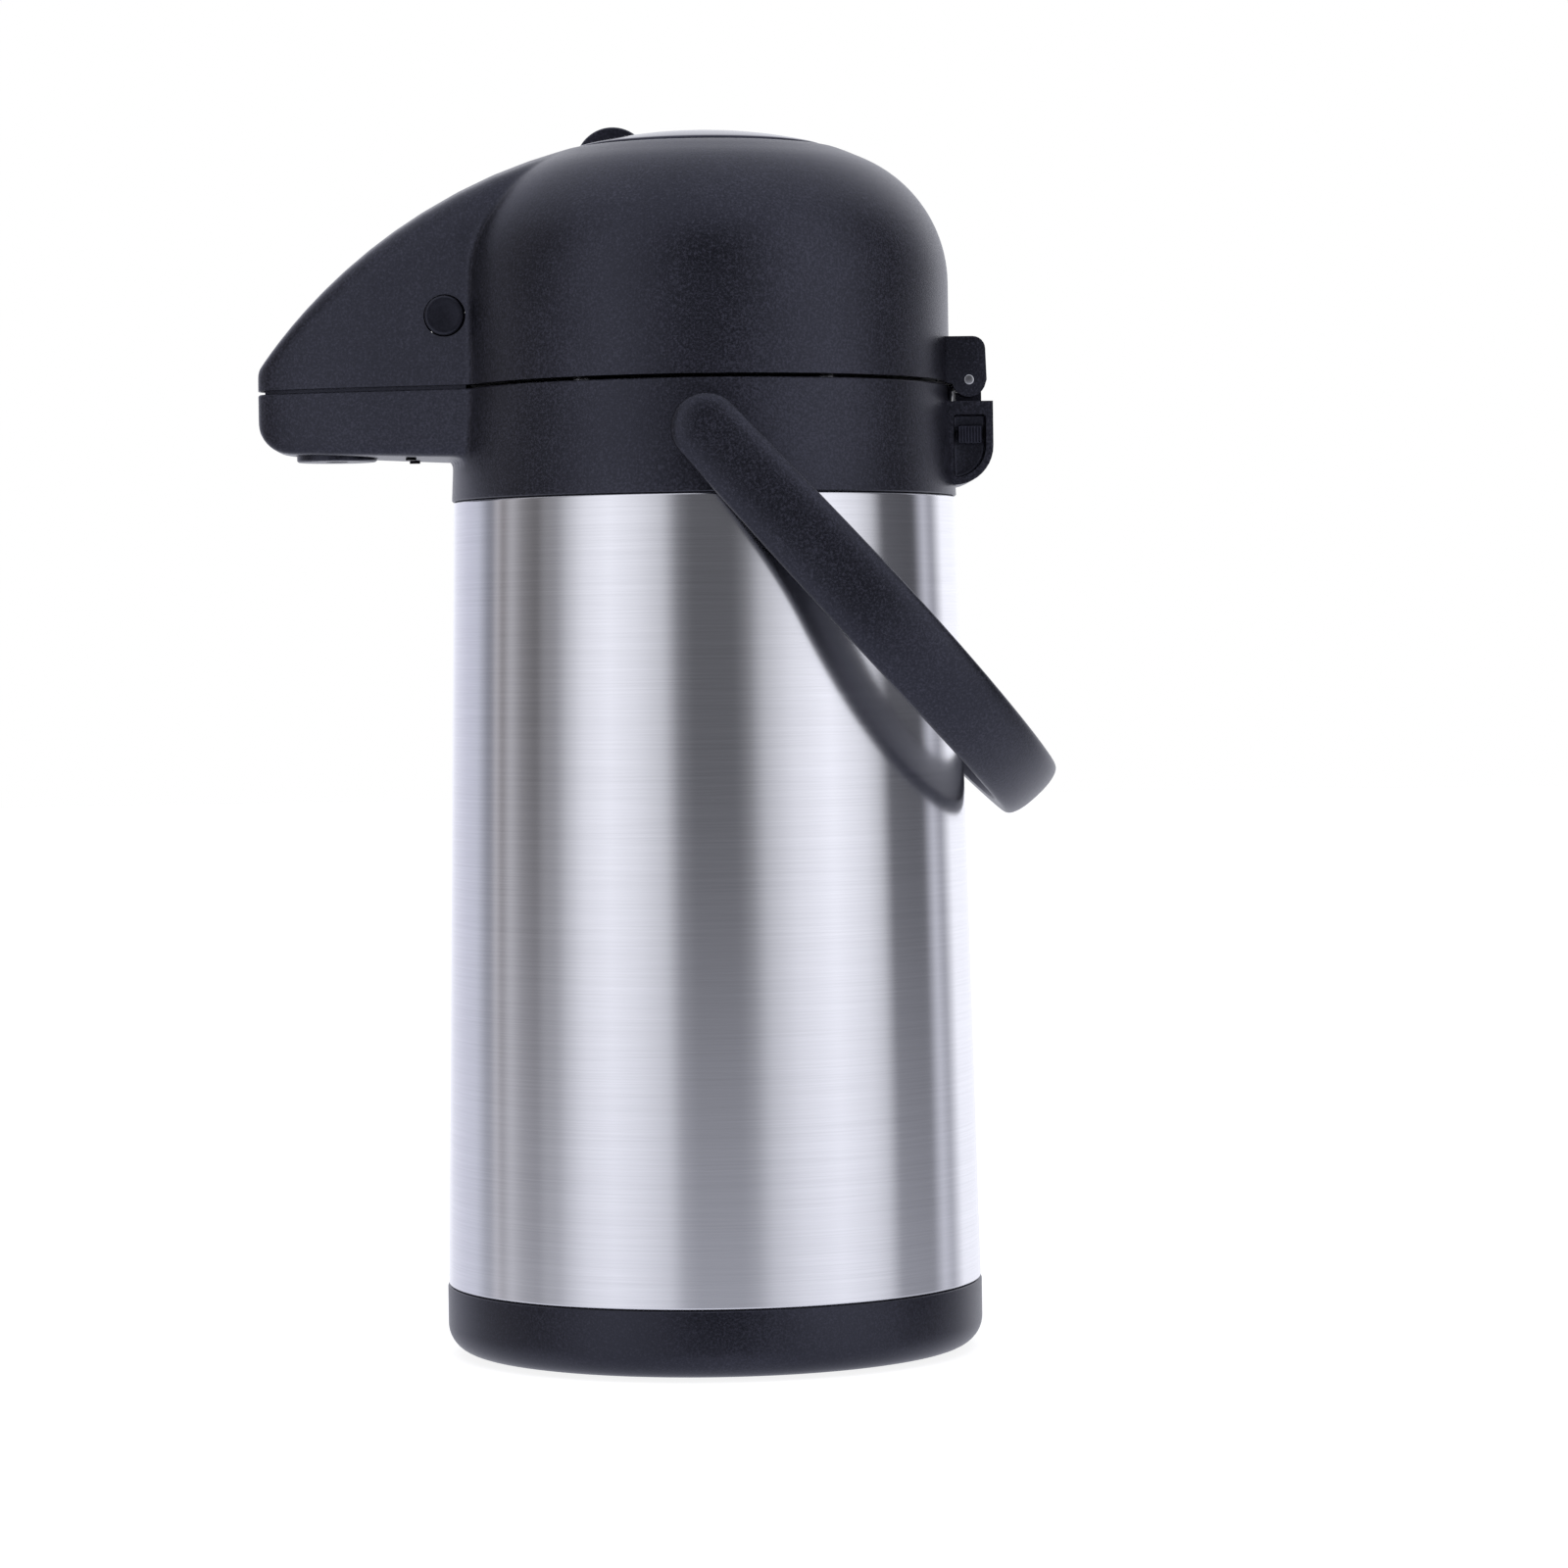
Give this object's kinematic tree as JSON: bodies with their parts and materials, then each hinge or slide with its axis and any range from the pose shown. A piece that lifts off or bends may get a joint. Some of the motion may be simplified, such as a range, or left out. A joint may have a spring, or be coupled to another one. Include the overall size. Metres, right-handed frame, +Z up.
{
  "type": "thermal coffee airpot",
  "caption": "Tall steel vacuum jug with a charcoal plastic base, collar and domed pump lid, a hooked pouring bill and a swing handle.",
  "frame": {"origin": "centre of the rubber foot on the table, on the body's axis", "axes": "+Z up along the body's axis, -X towards the pouring bill, +X towards the lid hinge, Y across the handle's pivots"},
  "size_m": [0.2258, 0.1564, 0.3454],
  "materials": {
    "body_plastic": "fine spark-eroded grain, matt charcoal",
    "dark_plastic": "moulded, smooth matt",
    "brushed_steel": "brushed round the body",
    "satin_steel": "as drawn",
    "bright_steel": "turned and polished",
    "spring_steel": "drawn wire",
    "soft_rubber": "moulded, matt",
    "silicone": "translucent milky, matt"
  },
  "bodies": {
    "flask": {"base_cup": "body_plastic", "foot_pad": "soft_rubber", "outer_shell": "brushed_steel", "jacket_bottom": "satin_steel", "getter_cap": "satin_steel", "inner_flask": "satin_steel", "flask_neck": "satin_steel", "jacket_shoulder": "satin_steel", "collar": "body_plastic", "mouth_seal": "silicone", "mouth_ring": "dark_plastic", "dip_tube": "satin_steel", "valve_cage": "dark_plastic", "siphon_elbow": "dark_plastic", "pipe_seals": "silicone", "delivery_pipe": "silicone", "pipe_clamp": "dark_plastic", "clamp_screws": "satin_steel", "outlet_nozzle": "body_plastic"},
    "valve_ball": {"valve_ball": "bright_steel"},
    "hinge_link": {"hinge_link": "dark_plastic", "hinge_pin": "bright_steel"},
    "release_tab_left": {"release_tab_left": "dark_plastic"},
    "release_tab_right": {"release_tab_right": "dark_plastic"},
    "lid": {"lid": "body_plastic", "pump_base": "dark_plastic", "pump_base_screws": "bright_steel", "lid_gasket": "silicone", "bellows": "soft_rubber", "bellows_ring": "dark_plastic", "return_spring": "spring_steel", "latch_spring_left": "spring_steel", "latch_spring_right": "spring_steel"},
    "push_plate": {"push_plate": "body_plastic", "plunger_carrier": "dark_plastic", "air_valve": "soft_rubber"},
    "lock_fin": {"lock_fin": "dark_plastic"},
    "latch_button_left": {"latch_button_left": "body_plastic"},
    "latch_button_right": {"latch_button_right": "body_plastic"},
    "handle": {"handle": "body_plastic", "pivot_washers": "satin_steel", "pivot_screws": "bright_steel"}
  },
  "joints": [
    {"name": "handle_swing", "type": "hinge", "parent": "flask", "child": "handle", "pos_m": [0, 0, 0.2572], "axis": [0, -1, 0], "range_deg": [0, 204.7]},
    {"name": "lid_unplug", "type": "slide", "parent": "flask", "child": "hinge_link", "axis": [0, 0, 1], "range_m": [0, 0.024]},
    {"name": "lid_hinge", "type": "hinge", "parent": "hinge_link", "child": "lid", "pos_m": [0.0744, 0, 0.2724], "axis": [0, 1, 0], "range_deg": [0, 92]},
    {"name": "pump_stroke", "type": "slide", "parent": "lid", "child": "push_plate", "axis": [0, 0, -1], "range_m": [0, 0.028], "stiffness_N_per_m": 250, "springref_m": -0.012, "deforming": ["bellows", "return_spring"]},
    {"name": "lock_slide", "type": "slide", "parent": "push_plate", "child": "lock_fin", "axis": [-1, 0, 0], "range_m": [0, 0.005]},
    {"name": "latch_press_left", "type": "slide", "parent": "lid", "child": "latch_button_left", "axis": [0, -1, 0], "range_m": [0, 0.0025], "stiffness_N_per_m": 600, "springref_m": -0.002, "deforming": ["latch_spring_left"]},
    {"name": "latch_press_right", "type": "slide", "parent": "lid", "child": "latch_button_right", "axis": [0, 1, 0], "range_m": [0, 0.0025], "stiffness_N_per_m": 600, "springref_m": -0.002, "deforming": ["latch_spring_right"]},
    {"name": "release_press_left", "type": "slide", "parent": "flask", "child": "release_tab_left", "axis": [0, -1, 0], "range_m": [0, 0.002], "stiffness_N_per_m": 600, "springref_m": -0.001},
    {"name": "release_press_right", "type": "slide", "parent": "flask", "child": "release_tab_right", "axis": [0, 1, 0], "range_m": [0, 0.002], "stiffness_N_per_m": 600, "springref_m": -0.001},
    {"name": "ball_lift", "type": "slide", "parent": "flask", "child": "valve_ball", "axis": [0, 0, 1], "range_m": [0, 0.003]}
  ]
}
